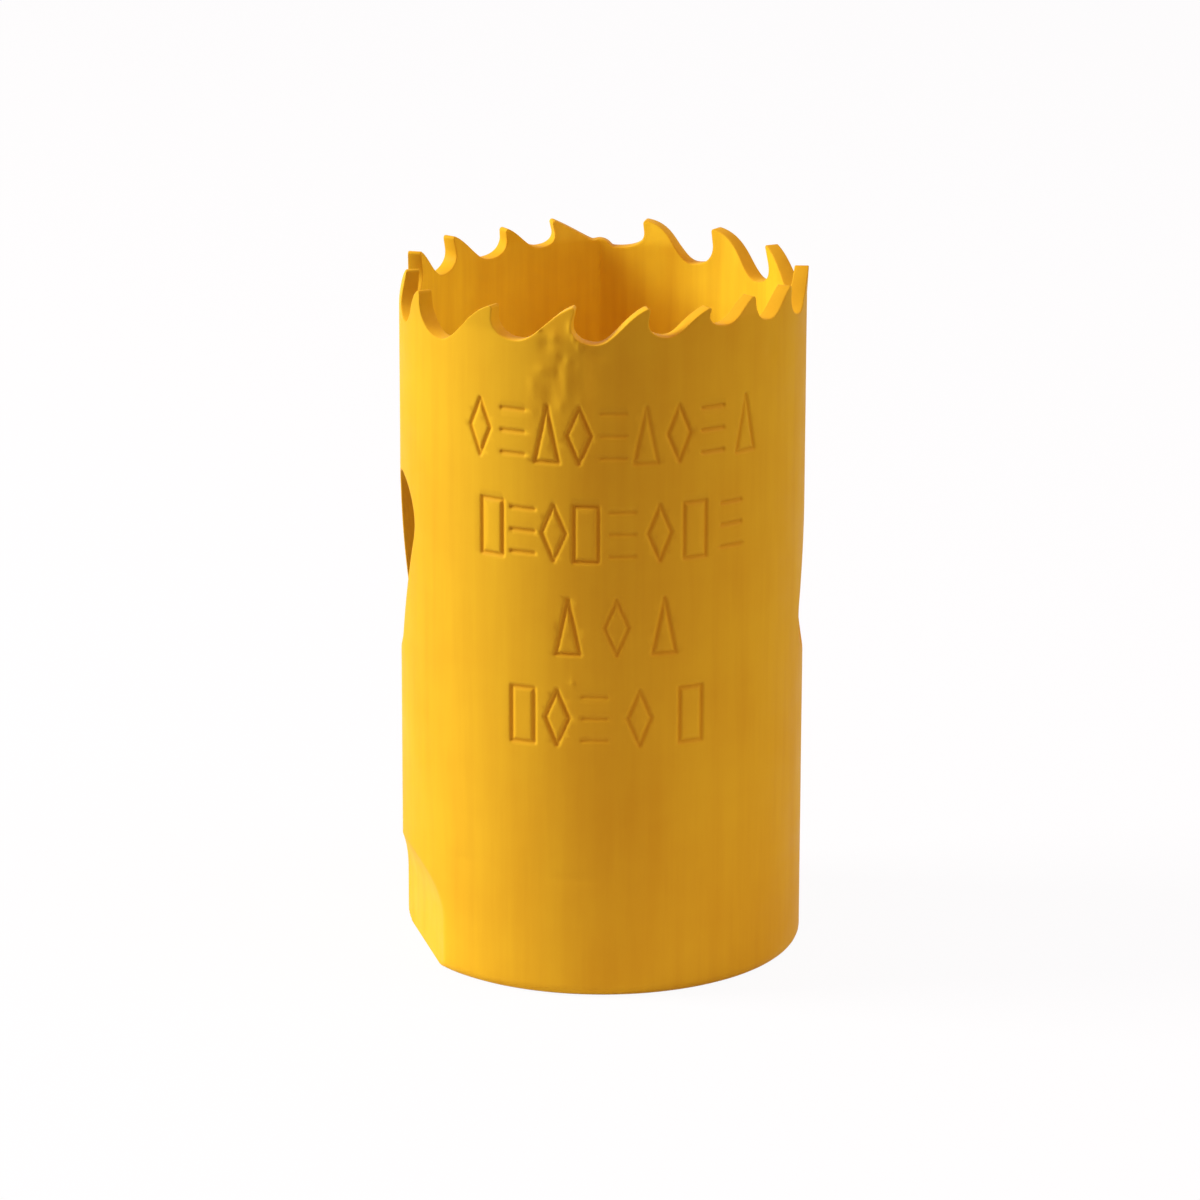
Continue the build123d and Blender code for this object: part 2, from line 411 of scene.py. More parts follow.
def into_metal(edge):
    """Unit vectors that point from the toothed edge into the metal."""
    around = edge[-1, 0]
    before = np.vstack([edge[-2] - (around, 0), edge[:-1]])
    after = np.vstack([edge[1:], edge[1] + (around, 0)])
    ahead, behind = after - edge, edge - before
    ahead /= np.hypot(*ahead.T)[:, None]
    behind /= np.hypot(*behind.T)[:, None]
    along = ahead + behind
    along /= np.hypot(*along.T)[:, None]
    return np.c_[along[:, 1], -along[:, 0]]


def slot_edge(size, grow):
    """Loop round a slot's edge on its flat section, grown by a margin."""
    radius = size.slot_width / 2 + grow
    half = size.slot_length / 2 - size.slot_width / 2
    turn = np.linspace(0, pi, 44)
    top = np.c_[radius * np.cos(turn), half + radius * np.sin(turn)]
    side = np.linspace(half, -half, 34)[1:-1]
    left = np.c_[np.full(len(side), -radius), side]
    loop = np.vstack([top, left, -top, -left])
    lean = radians(SLOT_LEAN)
    across = loop[:, 0] * cos(lean) + loop[:, 1] * sin(lean)
    up = -loop[:, 0] * sin(lean) + loop[:, 1] * cos(lean)
    return np.c_[across, size.slot_height + up]


def slot_distance(points, size, radius):
    """Distance of unrolled points from the nearest slot's edge, below zero in the slot."""
    lean = radians(SLOT_LEAN)
    half = size.slot_length / 2 - size.slot_width / 2
    nearest = np.full(len(points), FAR)
    for bearing in SLOTS:
        turn = (points[:, 0] - round_strip(bearing, size)) / size.body_radius
        across = np.where(np.abs(turn) < 1, radius * np.sin(np.clip(turn, -1, 1)), FAR)
        up = points[:, 1] - size.slot_height
        beside = across * cos(lean) - up * sin(lean)
        along = across * sin(lean) + up * cos(lean)
        away = np.hypot(beside, along - np.clip(along, -half, half)) - size.slot_width / 2
        nearest = np.minimum(nearest, away)
    return nearest


# The strip's two faces -------------------------------------------------------
def flat_radius(bearing, height, size):
    """Radius of the spanner flat and of its run-out, far out where there is none."""
    # by nine tenths of its radius the wheel's run-out is well outside the wall
    above = np.clip(height - size.flat_height, 0, FLAT_RUN_OUT * 0.9)
    distance = size.flat_distance + FLAT_RUN_OUT - np.sqrt(FLAT_RUN_OUT ** 2 - above ** 2)
    foot = np.clip(FOOT_ROUND - height, 0, FOOT_ROUND)
    distance = distance - FOOT_ROUND + np.sqrt(FOOT_ROUND ** 2 - foot ** 2)
    turn = np.cos(np.radians(bearing - FLAT))
    return np.where(turn > 0.5, distance / np.maximum(turn, 0.5), FAR)


def set_of_teeth(points, size):
    """How far each point leans out with its tooth, and how much the wall thins there."""
    bearing = bearing_at(points[:, 0], size)
    floors = np.array(floor_bearings())
    tooth = np.searchsorted(floors, bearing) % len(TEETH)
    depth = np.array([row[1] for row in TEETH])
    shallow = np.minimum(depth, np.roll(depth, 1))
    bend = size.height - shallow[tooth] + BEND_ABOVE
    rise = np.clip((points[:, 1] - bend) / (size.height - bend), 0, 1.1)
    lean = np.array([row[2] for row in TEETH])[tooth]
    started = np.where(rise < BEND_EASE, rise * rise / (2 * BEND_EASE), rise - BEND_EASE / 2)
    curved = started / (1 - BEND_EASE / 2)
    return lean * curved, (size.wall - size.tip_thickness) / 2 * rise


def ripple(points, around, seed):
    """Slow waves, between -1 and 1, such as rolling and dipping leave in the wall."""
    draw = np.random.default_rng(seed)
    total = np.zeros(len(points))
    for _ in range(RIPPLE_WAVES):
        turns = draw.integers(5, 26)
        rise = draw.uniform(-0.9, 0.9)
        start = draw.uniform(0, 2 * pi)
        total += np.sin(points[:, 0] / around * 2 * pi * turns + points[:, 1] * rise + start)
    return total / RIPPLE_WAVES


def stroke_distance(points, size):
    """Distance to the middle of the nearest punched stroke, and how hard it was struck."""
    nearest, strikes = np.full(len(points), FAR), np.zeros(len(points))
    for height, half, marks in MARK_ROWS:
        for bearing, shape, strike in marks:
            middle = np.array((round_strip(bearing + 360, size), height))
            scale = np.array((MARK_HALF_WIDTH, half))
            near = np.flatnonzero(np.all(np.abs(points - middle) < scale + 0.6, axis=1))
            if not len(near):
                continue
            here = points[near] - middle
            away = np.full(len(here), FAR)
            for x0, y0, x1, y1 in STROKES[shape]:
                start, end = scale * (x0, y0), scale * (x1, y1)
                run = end - start
                share = np.clip((here - start) @ run / (run @ run), 0, 1)
                away = np.minimum(away, np.hypot(*(here - start - share[:, None] * run).T))
            closer = away < nearest[near]
            nearest[near[closer]] = away[closer]
            strikes[near[closer]] = strike
    return nearest, strikes


def stroke_depth(points, size):
    """Depth of the punched marks at each point, from 0 to 1: a V with a soft brow."""
    away, strikes = stroke_distance(points, size)
    rise = (away - STROKE_FLOOR * size.mark_stroke) / (STROKE_SIDE * size.mark_stroke)
    return strikes * (1 - eased(rise))


def knock_distance(points, place, size):
    """Square of the distance from a knock's middle, in its own half width and height."""
    bearing, height, half_width, half_height = place
    beside = (points[:, 0] - round_strip(bearing + 360, size)) / half_width
    above = (points[:, 1] - height) / half_height
    return beside ** 2 + above ** 2


def outer_face(points, size):
    """Radius of the outside of the strip at unrolled points, and its marks' depth."""
    bearing = bearing_at(points[:, 0], size)
    lean, thinning = set_of_teeth(points, size)
    radius = size.body_radius + lean - thinning
    around = 2 * pi * size.body_radius
    radius = radius + RIPPLE * ripple(points, around, 5)
    marks = stroke_depth(points, size)
    radius = radius - size.mark_depth * marks
    for *place, depth in KNOCKS:
        radius = radius - depth * np.exp(-knock_distance(points, place, size))
    radius = radius + weld_peak(points, size, PEAK_OUTSIDE)
    return softer_min(radius, flat_radius(bearing, points[:, 1], size), FLAT_BLEND), marks


def weld_peak(points, size, height):
    """How far out the strip's ends stand where they are butted, clear of the plate."""
    around = 2 * pi * size.body_radius
    beside = np.minimum(points[:, 0], around - points[:, 0])
    low, high = PEAK_HEIGHTS
    clear = np.clip((points[:, 1] - low) / (high - low), 0, 1)
    return height * clear * np.clip(1 - beside / PEAK_REACH, 0, 1) ** PEAK_CURVE


def inner_face(points, size):
    """Radius of the inside of the strip at unrolled points."""
    bearing = bearing_at(points[:, 0], size)
    lean, thinning = set_of_teeth(points, size)
    radius = size.body_radius - size.wall + lean + thinning
    radius = radius + RIPPLE * ripple(points, 2 * pi * size.body_radius, 11)
    radius = radius + weld_peak(points, size, PEAK_INSIDE)
    thinnest = 0.05
    return np.minimum(radius, flat_radius(bearing, points[:, 1], size) - thinnest)


def placed(points, radius, size):
    """Unrolled points put at their radius round the axis."""
    turn = np.radians(SEAM) + points[:, 0] / size.body_radius
    return np.c_[radius * np.sin(turn), -radius * np.cos(turn), points[:, 1]]


# Meshes ----------------------------------------------------------------------
class Mesh:
    """Points, faces and what the paint needs to know at each point, gathered for one mesh."""

    def __init__(self):
        self.points, self.marks, self.insides, self.faces, self.count = [], [], [], [], 0

    def add(self, xyz, marks=0.0, inside=0.0):
        """Adds points and returns their numbers."""
        self.points.append(xyz)
        self.marks.append(np.full(len(xyz), marks))
        self.insides.append(np.full(len(xyz), inside))
        self.count += len(xyz)
        return np.arange(self.count - len(xyz), self.count)

    def bridge(self, lower, upper, closed=False):
        """Quads between two rows, seen with the second above the first."""
        if closed:
            lower, upper = np.append(lower, lower[0]), np.append(upper, upper[0])
        quads = np.c_[lower[:-1], lower[1:], upper[1:], upper[:-1]]
        self.faces += quads.tolist()

    def finish(self, name):
        """The object, its ends joined and its faces smooth."""
        data = bpy.data.meshes.new(name)
        data.from_pydata((np.vstack(self.points) * MM).tolist(), [], self.faces)
        for name_of, values in (("mark_depth", self.marks), ("inside", self.insides)):
            layer = data.attributes.new(name_of, "FLOAT", "POINT")
            layer.data.foreach_set("value", np.concatenate(values).astype(np.float32))
        joined = bmesh.new()
        joined.from_mesh(data)
        bmesh.ops.remove_doubles(joined, verts=joined.verts, dist=1e-4 * MM)
        joined.to_mesh(data)
        joined.free()
        data.shade_smooth()
        piece = bpy.data.objects.new(name, data)
        bpy.context.collection.objects.link(piece)
        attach(piece, "root")
        return piece


def graded_grid(around, low, high, wanted):
    """Corners of square cells that halve until they are as small as is wanted."""
    size = around / round(around / CELL)
    across = np.arange(round(around / size)) * size + size / 2
    up = np.arange(int(np.ceil((high - low) / size))) * size + low + size / 2
    cells = np.stack(np.meshgrid(across, up), axis=-1).reshape(-1, 2)
    quarter = np.array([(-1, -1), (1, -1), (1, 1), (-1, 1)])
    corners = []
    while len(cells):
        split = wanted(cells) < 0.75 * size
        corners.append((cells[~split][:, None] + quarter * size / 2).reshape(-1, 2))
        cells = (cells[split][:, None] + quarter * size / 4).reshape(-1, 2)
        size /= 2
    return np.unique(np.round(np.vstack(corners) * 1e4).astype(np.int64), axis=0) / 1e4


def rim_distance(points, edge):
    """Distance of unrolled points from the toothed edge, far for those well below it."""
    away = np.full(len(points), FAR)
    for part in np.array_split(np.flatnonzero(points[:, 1] > TOOTHED_ABOVE), PARTS):
        gaps = points[part][:, None] - edge[None]
        away[part] = np.sqrt((gaps ** 2).sum(axis=2).min(axis=1)) if len(part) else FAR
    return away


def below_edge(points, edge):
    """Whether unrolled points are on the metal's side of the toothed edge."""
    below = np.ones(len(points), bool)
    start, end = edge[:-1], edge[1:]
    for part in np.array_split(np.flatnonzero(points[:, 1] > TOOTHED_ABOVE), PARTS):
        x, y = points[part, :1], points[part, 1:]
        over = (start[:, 0] <= x) != (end[:, 0] <= x)
        share = (x - start[:, 0]) / np.where(over, end[:, 0] - start[:, 0], 1)
        higher = start[:, 1] + share * (end[:, 1] - start[:, 1]) > y
        below[part] = (over & higher).sum(axis=1) % 2 == 1
    return below


def spacing_wanted(edge, size, outside):
    """How far apart the points of a face may be: close at its edges, marks and knocks."""
    around = edge[-1, 0]

    def wanted(points):
        # within so many millimetres of a feature, the cells are so small
        need = np.full(len(points), CELL)
        if outside:
            need[np.abs(points[:, 0] - around / 2) < around / 4] = CELL / 2
            need[points[:, 1] < 1.3] = CELL / 4
        beside_weld = np.minimum(points[:, 0], around - points[:, 0])
        need[beside_weld < 0.6] = CELL / 4
        need[beside_weld < 0.2] = CELL / 8
        need[slot_distance(points, size, size.body_radius) < 0.5] = CELL / 4
        away = rim_distance(points, edge)
        near_rim = np.select([away < 0.25, away < 0.7], [CELL / 8, CELL / 4], CELL / 2)
        need = np.minimum(need, near_rim)
        if not outside:
            return need
        away, _ = stroke_distance(points, size)
        near_marks = np.select([away < 0.17, away < 0.4], [CELL / 16, CELL / 8], CELL / 2)
        need = np.minimum(need, near_marks)
        for *place, _ in KNOCKS:
            close = knock_distance(points, place, size) < 5
            need[close] = np.minimum(need[close], CELL / 8 if place[2] < 0.4 else CELL / 4)
        bearing = bearing_at(points[:, 0], size)
        crease = np.abs(flat_radius(bearing, points[:, 1], size) - size.body_radius)
        need[crease < 0.4] = np.minimum(need[crease < 0.4], CELL / 4)
        need[crease < 0.12] = CELL / 8
        return need

    return wanted


def face_points(border, edge, metal, low, size, wanted):
    """The points inside a face, clear of its border and of the gaps between the teeth."""
    around = edge[-1, 0]
    grid = graded_grid(around, low, size.height, wanted)
    need = wanted(grid)
    keep = (grid[:, 0] > BORDER) & (grid[:, 0] < around - BORDER) & (grid[:, 1] > low + BORDER)
    tree = KDTree(len(border))
    for number, (x, y) in enumerate(border.tolist()):
        tree.insert((x, y, 0), number)
    tree.balance()
    for number in np.flatnonzero(keep):
        x, y = grid[number]
        nearest, which, away = tree.find((x, y, 0))
        inside = True
        if which < len(edge) and y > TOOTHED_ABOVE:
            inside = (x - nearest.x) * metal[which, 0] + (y - nearest.y) * metal[which, 1] > 0
        keep[number] = inside and away > 0.55 * need[number]
    return grid[keep]


def filled_face(mesh, edge, inset, slots, low, size, outside):
    """Fills one face of the strip. Returns the point numbers of its foot, rim and slots."""
    around = edge[-1, 0]
    step = around / round(around / CELL) / 4
    across = np.linspace(0, around, round(around / step) + 1)
    foot = np.c_[across, np.full(len(across), low)]
    up = np.arange(low + step, inset[0, 1] - 0.6 * step, step)
    left, right = np.c_[up * 0, up], np.c_[up * 0 + around, up]
    metal = into_metal(edge)
    wanted = spacing_wanted(edge, size, outside)
    inside = face_points(np.vstack([inset] + slots), inset, metal, low, size, wanted)
    radius = size.body_radius if outside else size.body_radius - size.wall
    inside = inside[slot_distance(inside, size, radius) > BORDER]
    loops = [np.vstack([foot, right, inset[::-1], left[::-1]])] + slots
    flat = np.vstack(loops + [inside])
    edges, first, numbers = [], 0, []
    for loop in loops:
        ring = np.arange(first, first + len(loop))
        edges += np.c_[ring, np.roll(ring, -1)].tolist()
        numbers.append(ring)
        first += len(loop)
    made = delaunay_2d_cdt([Vector(p) for p in flat.tolist()], edges, [], 1, 1e-7, True)
    if len(made[0]) != len(flat):
        raise RuntimeError("the edges of the strip cross each other")
    faces = np.array(made[2])
    middle = flat[faces].mean(axis=1)
    # the chords of a slot's loop run 2 microns or so inside its arcs, so 4 are allowed
    clear = slot_distance(middle, size, radius) > SLOT_ROUND - 0.004
    faces = faces[clear & below_edge(middle, inset)]
    a, b, c = flat[faces[:, 0]], flat[faces[:, 1]], flat[faces[:, 2]]
    turn = (b[:, 0] - a[:, 0]) * (c[:, 1] - a[:, 1]) - (b[:, 1] - a[:, 1]) * (c[:, 0] - a[:, 0])
    wrong = (turn < 0) == outside
    faces[wrong] = faces[wrong][:, ::-1]
    face_radius, marks = outer_face(flat, size) if outside else (inner_face(flat, size), 0.0)
    placed_at = mesh.add(placed(flat, face_radius, size), marks, 0.0 if outside else 1.0)
    mesh.faces += placed_at[faces].tolist()
    rim_first = len(foot) + len(right)
    rim = numbers[0][rim_first:rim_first + len(inset)][::-1]
    return placed_at[numbers[0][:len(foot)]], placed_at[rim], [placed_at[n] for n in numbers[1:]]


def edge_rows(reach):
    """Steps over a painted edge: how far in from it, how far into the wall, share across it."""
    turns = np.radians((22.5, 45, 67.5, 90))
    steps = [(reach * (1 - sin(turn)), reach * (1 - cos(turn))) for turn in turns]
    over = [(*step, 0) for step in steps] + [(0, reach, 0.5)]
    return over + [(*step, 1) for step in reversed(steps)]


def across_wall(flat, drop, share, size):
    """Radius of unrolled points on the way through the wall, from its outside to its inside."""
    outside = outer_face(flat, size)[0] - drop
    inside = inner_face(flat, size) + drop
    return outside * (1 - share) + inside * share


def slot_row(bearing, grow, radius, size):
    """A slot's loop on the unrolled strip, as it meets a radius."""
    loop = slot_edge(size, grow)
    return np.c_[
        round_strip(bearing, size) + size.body_radius * np.arcsin(loop[:, 0] / radius), loop[:, 1]
    ]


def toothed_shell(size):
    """The strip: both faces, and the painted edges that join them."""
    mesh = Mesh()
    edge = rim_edge(size)
    metal = into_metal(edge)
    metal[0] = metal[-1] = (0, -1)
    inset = edge + metal * size.edge_round
    inner_radius = size.body_radius - size.wall
    outer_slots = [slot_row(b, SLOT_ROUND, size.body_radius, size) for b in SLOTS]
    inner_slots = [slot_row(b, SLOT_ROUND, inner_radius, size) for b in SLOTS]
    low = size.back_round
    foot, rim, holes = filled_face(mesh, edge, inset, outer_slots, low, size, True)
    inner = filled_face(mesh, edge, inset, inner_slots, 0.0, size, False)
    inner_foot, inner_rim, inner_holes = inner

    row = rim
    for away, drop, share in edge_rows(size.edge_round):
        flat = edge + metal * away
        above = mesh.add(placed(flat, across_wall(flat, drop, share, size), size))
        mesh.bridge(row, above)
        row = above
    mesh.bridge(row, inner_rim)

    for bearing, hole, inner_hole in zip(SLOTS, holes, inner_holes):
        row = hole
        for away, drop, share in edge_rows(SLOT_ROUND):
            radius = (size.body_radius - drop) * (1 - share) + (inner_radius + drop) * share
            flat = slot_row(bearing, away, radius, size)
            above = mesh.add(placed(flat, across_wall(flat, drop, share, size), size))
            mesh.bridge(row, above, closed=True)
            row = above
        mesh.bridge(row, inner_hole, closed=True)

    row = foot
    across = np.linspace(0, edge[-1, 0], len(foot))
    bearing = bearing_at(across, size)
    # round as the strip is, before the flat is cut from it
    plain = outer_face(np.c_[across, np.full(len(foot), size.back_round)], size)[0]
    plain = np.maximum(plain, size.body_radius - 0.02)
    for angle in np.radians((15, 30, 45, 60, 70, 80, 90)):
        height = np.full(len(foot), size.back_round * (1 - sin(angle)))
        radius = plain - size.back_round * (1 - cos(angle))
        radius = softer_min(radius, flat_radius(bearing, height, size), FLAT_FOOT_BLEND)
        below = mesh.add(placed(np.c_[across, height], radius, size))
        mesh.bridge(below, row)
        row = below
    mesh.bridge(inner_foot, row)
    return mesh.finish("toothed_shell_enamelled")


# The back plate --------------------------------------------------------------
def thread_radius(turn, height, size):
    """Radius of the arbor thread: a right-hand 60 degree V with flats and led-in ends."""
    phase = (height / size.thread_pitch - turn / (2 * pi)) % 1
    flank = (1 - CREST_FLAT - ROOT_FLAT) / 2
    share = np.clip(((1 - CREST_FLAT) / 2 - np.abs(phase - 0.5)) / flank, 0, 1)
    radius = size.thread_minor + (size.thread_major - size.thread_minor) * share
    mouth = size.thread_minor + MOUTH_CHAMFER - height
    way_out = size.thread_minor + EXIT_CHAMFER - (size.cap_thickness - height)
    return np.maximum(np.maximum(radius, mouth), way_out)


def arbor_cap(size):
    """The turned back plate with its tapped hole, and the bead that welds it in."""
    mesh = Mesh()
    outside = size.body_radius - size.wall
    turns = np.linspace(0, 2 * pi, 289)[:-1]
    bearing = np.degrees(turns)

    def ring(radius, height):
        radius = np.broadcast_to(np.asarray(radius, float), turns.shape)
        height = np.broadcast_to(np.asarray(height, float), turns.shape)
        radius = np.minimum(radius, flat_radius(bearing, height, size) - BEHIND_FLAT)
        return mesh.add(np.c_[radius * np.sin(turns), -radius * np.cos(turns), height])

    rows = []
    for height in np.linspace(size.cap_thickness, 0, 90):
        rows.append(ring(thread_radius(turns - pi / 2, height, size), height))
    mouth = size.thread_minor + MOUTH_CHAMFER
    for radius in np.linspace(mouth + 0.15, outside - 0.35, 14):
        rows.append(ring(radius, 0))
    # the chamfer that takes the weld, with paint in its corners
    rows += [ring(outside - 0.3, 0.01), ring(outside - 0.15, 0.15), ring(outside + 0.01, 0.32)]
    for height in np.linspace(0.8, size.cap_thickness - 0.6, 12):
        rows.append(ring(outside + PLATE_LAP, height))
    for angle in np.radians((0, 20, 40, 60, 80, 90)):
        radius = outside + PLATE_LAP - WELD_BEAD * sin(angle)
        rows.append(ring(radius, size.cap_thickness + WELD_BEAD * cos(angle)))
    exit_radius = size.thread_minor + EXIT_CHAMFER
    for radius in np.linspace(outside - 0.7, exit_radius + 0.15, 14):
        rows.append(ring(radius, size.cap_thickness))
    for first, second in zip(rows, rows[1:] + rows[:1]):
        mesh.bridge(first, second, closed=True)
    return mesh.finish("arbor_cap_enamelled")


# Materials -------------------------------------------------------------------
def add_node(tree, kind, inputs=(), **settings):
    """Adds a node with its settings, and sets or links its inputs."""
    node = tree.nodes.new(kind)
    for name, value in settings.items():
        setattr(node, name, value)
    for socket, value in dict(inputs).items():
        if isinstance(value, bpy.types.NodeSocket):
            tree.links.new(value, node.inputs[socket])
        else:
            node.inputs[socket].default_value = value
    return node


def enamel_on_steel(finish):
    """Enamel paint, dipped and stoved on steel: a satin gloss with a faint orange peel, painted shade
    in its marks and painted light inside the cup.
    """
    material = bpy.data.materials.new("enamel paint on steel")
    material.use_nodes = True
    tree = material.node_tree
    tree.nodes.clear()
    place = add_node(tree, "ShaderNodeTexCoord").outputs["Object"]
    # a coat that ran and pooled over 10 mm or so is deeper in colour there
    runs = add_node(tree, "ShaderNodeTexNoise", {
        "Vector": place, "Scale": 1 / (9 * MM), "Detail": 3.0, "Roughness": 0.55})
    thick = add_node(tree, "ShaderNodeMapRange", {
        "Value": runs.outputs["Fac"], "From Min": 0.38, "From Max": 0.68,
        "To Min": 0.1, "To Max": 0.45})
    # the strip's rolling lines, 1 mm or so apart, show through as faint upright streaks
    drawn = add_node(tree, "ShaderNodeVectorMath", {
        0: place, 1: (1.0, 1.0, STREAK_SQUEEZE)}, operation="MULTIPLY")
    streaks = add_node(tree, "ShaderNodeTexNoise", {
        "Vector": drawn.outputs["Vector"], "Scale": 1 / (1.1 * MM), "Detail": 3.0,
        "Roughness": 0.6})
    streaked = add_node(tree, "ShaderNodeMapRange", {
        "Value": streaks.outputs["Fac"], "From Min": 0.35, "From Max": 0.75,
        "To Min": 0.0, "To Max": 0.35})
    uneven = add_node(tree, "ShaderNodeMath", {
        0: thick.outputs["Result"], 1: streaked.outputs["Result"]}, operation="ADD")
    # the punched marks take the deeper colour, painted shade in their hollows
    shaded = add_node(
        tree, "ShaderNodeAttribute", attribute_name="mark_depth", attribute_type="GEOMETRY")
    share = add_node(tree, "ShaderNodeMath", {
        0: shaded.outputs["Fac"], 1: MARK_SHADE_SHARE, 2: uneven.outputs["Value"]},
        operation="MULTIPLY_ADD", use_clamp=True)
    # the cup's inside takes a lighter copy of the enamel, painted light inside the cup
    inside = add_node(
        tree, "ShaderNodeAttribute", attribute_name="inside", attribute_type="GEOMETRY")
    coat = add_node(tree, "ShaderNodeMix", {
        "Factor": inside.outputs["Fac"], "A": (*finish.enamel, 1),
        "B": (*finish.enamel_inside_painted_light, 1)}, data_type="RGBA")
    base = add_node(tree, "ShaderNodeMix", {
        "Factor": share.outputs["Value"], "A": coat.outputs["Result"],
        "B": (*finish.enamel_thick_and_mark_shade, 1)}, data_type="RGBA")
    # orange peel 0.9 mm across, some 2 microns high where the noise swings by a third
    peel = add_node(tree, "ShaderNodeTexNoise", {
        "Vector": place, "Scale": 1 / (0.9 * MM), "Detail": 2.0, "Roughness": 0.5})
    bump = add_node(tree, "ShaderNodeBump", {
        "Height": peel.outputs["Fac"], "Strength": 1.0, "Distance": 0.006 * MM})
    # handling dulls the gloss in patches 3 mm across
    dull = add_node(tree, "ShaderNodeTexNoise", {
        "Vector": place, "Scale": 1 / (3 * MM), "Detail": 4.0, "Roughness": 0.6})
    rough = add_node(tree, "ShaderNodeMapRange", {
        "Value": dull.outputs["Fac"], "From Min": 0.3, "From Max": 0.7,
        "To Min": finish.gloss - 0.05, "To Max": finish.gloss + 0.07})
    shader = add_node(tree, "ShaderNodeBsdfPrincipled", {
        "Base Color": base.outputs["Result"], "Roughness": rough.outputs["Result"],
        "Normal": bump.outputs["Normal"], "IOR": 1.5, "Specular IOR Level": 0.04})
    add_node(tree, "ShaderNodeOutputMaterial", {"Surface": shader.outputs["BSDF"]})
    return material


def seen_rays(tree):
    """1 for what the camera, a reflection or clear glass sees, 0 for light that bounces."""
    rays = add_node(tree, "ShaderNodeLightPath").outputs
    either = add_node(tree, "ShaderNodeMath", {
        0: rays["Is Camera Ray"], 1: rays["Is Glossy Ray"]}, operation="MAXIMUM")
    seen = add_node(tree, "ShaderNodeMath", {
        0: either.outputs["Value"], 1: rays["Is Transmission Ray"]}, operation="MAXIMUM")
    return seen.outputs["Value"]


def pale_paper():
    """Matt white seamless paper, which keeps a soft shadow."""
    material = bpy.data.materials.new("matt seamless paper")
    material.use_nodes = True
    tree = material.node_tree
    tree.nodes.clear()
    place = add_node(tree, "ShaderNodeTexCoord").outputs["Object"]
    away = add_node(tree, "ShaderNodeVectorMath", {0: place}, operation="LENGTH")
    # paper near the object bounces light up at it, the table beyond hardly any
    near = add_node(tree, "ShaderNodeMapRange", {
        "Value": away.outputs["Value"], "From Min": PAPER_NEAR, "From Max": PAPER_FAR,
        "To Min": 1.0, "To Max": 0.0})
    lit = add_node(tree, "ShaderNodeMix", {
        "Factor": near.outputs["Result"], "A": (*linear("#888886"), 1),
        "B": (*linear("#E0E0DE"), 1)}, data_type="RGBA")
    # a mottle 2 mm across, as of pressed fibres, keeps the white from being quite flat
    fibre = add_node(tree, "ShaderNodeTexNoise", {
        "Vector": place, "Scale": 1 / (2 * MM), "Detail": 3.0})
    tone = add_node(tree, "ShaderNodeMix", {
        "Factor": fibre.outputs["Fac"], "A": (*linear("#F4F4F3"), 1),
        "B": (*linear("#F8F8F7"), 1)}, data_type="RGBA")
    seen = seen_rays(tree)
    bounce = add_node(tree, "ShaderNodeMix", {
        "Factor": seen, "A": lit.outputs["Result"], "B": tone.outputs["Result"]},
        data_type="RGBA")
    paper = add_node(tree, "ShaderNodeBsdfPrincipled", {
        "Base Color": bounce.outputs["Result"], "Roughness": 0.9, "Specular IOR Level": 0.1})
    # what is seen is mostly plain white, and for the rest paper that takes the shadow
    white = add_node(tree, "ShaderNodeEmission", {"Color": (1, 1, 1, 1), "Strength": 1.0})
    share = add_node(tree, "ShaderNodeMath", {0: seen, 1: PLAIN_WHITE}, operation="MULTIPLY")
    mixed = add_node(tree, "ShaderNodeMixShader", {
        0: share.outputs["Value"], 1: paper.outputs["BSDF"], 2: white.outputs["Emission"]})
    add_node(tree, "ShaderNodeOutputMaterial", {"Surface": mixed.outputs["Shader"]})
    return material


# Stage -----------------------------------------------------------------------
def softbox(name, place, size, power):
    """A rectangular area lamp that faces the saw."""
    lamp = bpy.data.lights.new(name, "AREA")
    lamp.shape = "RECTANGLE"
    lamp.size, lamp.size_y = size
    lamp.energy = power
    shown = bpy.data.objects.new(name, lamp)
    shown.location = place
    shown.rotation_mode = "QUATERNION"
    shown.rotation_quaternion = (Vector(LAMP_AIM) - Vector(place)).to_track_quat("-Z", "Y")
    bpy.context.collection.objects.link(shown)


def studio(light):
    """Seamless floor, a room that is white to the eye, and two softboxes."""
    data = bpy.data.meshes.new("floor")
    reach = PAPER_REACH
    corners = [(-reach, -reach, 0), (reach, -reach, 0), (reach, reach, 0), (-reach, reach, 0)]
    data.from_pydata(corners, [], [(0, 1, 2, 3)])
    floor = bpy.data.objects.new("floor", data)
    bpy.context.collection.objects.link(floor)
    data.materials.append(pale_paper())

    world = bpy.data.worlds.new("white room")
    world.use_nodes = True
    tree = world.node_tree
    tree.nodes.clear()
    # the room's light falls mostly from its ceiling, and what is seen of the room is white
    way = add_node(tree, "ShaderNodeSeparateXYZ", {
        "Vector": add_node(tree, "ShaderNodeTexCoord").outputs["Generated"]})
    ceiling = add_node(tree, "ShaderNodeMapRange", {
        "Value": way.outputs["Z"], "From Min": 0.0, "From Max": 1.0,
        "To Min": ROOM_HORIZON * light.room, "To Max": ROOM_ZENITH * light.room})
    fill = add_node(tree, "ShaderNodeBackground", {
        "Color": ROOM_COLOUR, "Strength": ceiling.outputs["Result"]})
    white = add_node(tree, "ShaderNodeBackground", {"Color": (1, 1, 1, 1), "Strength": 1.0})
    mixed = add_node(tree, "ShaderNodeMixShader", {
        0: seen_rays(tree), 1: fill.outputs["Background"], 2: white.outputs["Background"]})
    add_node(tree, "ShaderNodeOutputWorld", {"Surface": mixed.outputs["Shader"]})
    bpy.context.scene.world = world

    softbox("softbox left", KEY_PLACE, KEY_SIZE, light.key)
    softbox("softbox right", SIDE_PLACE, SIDE_SIZE, light.side)


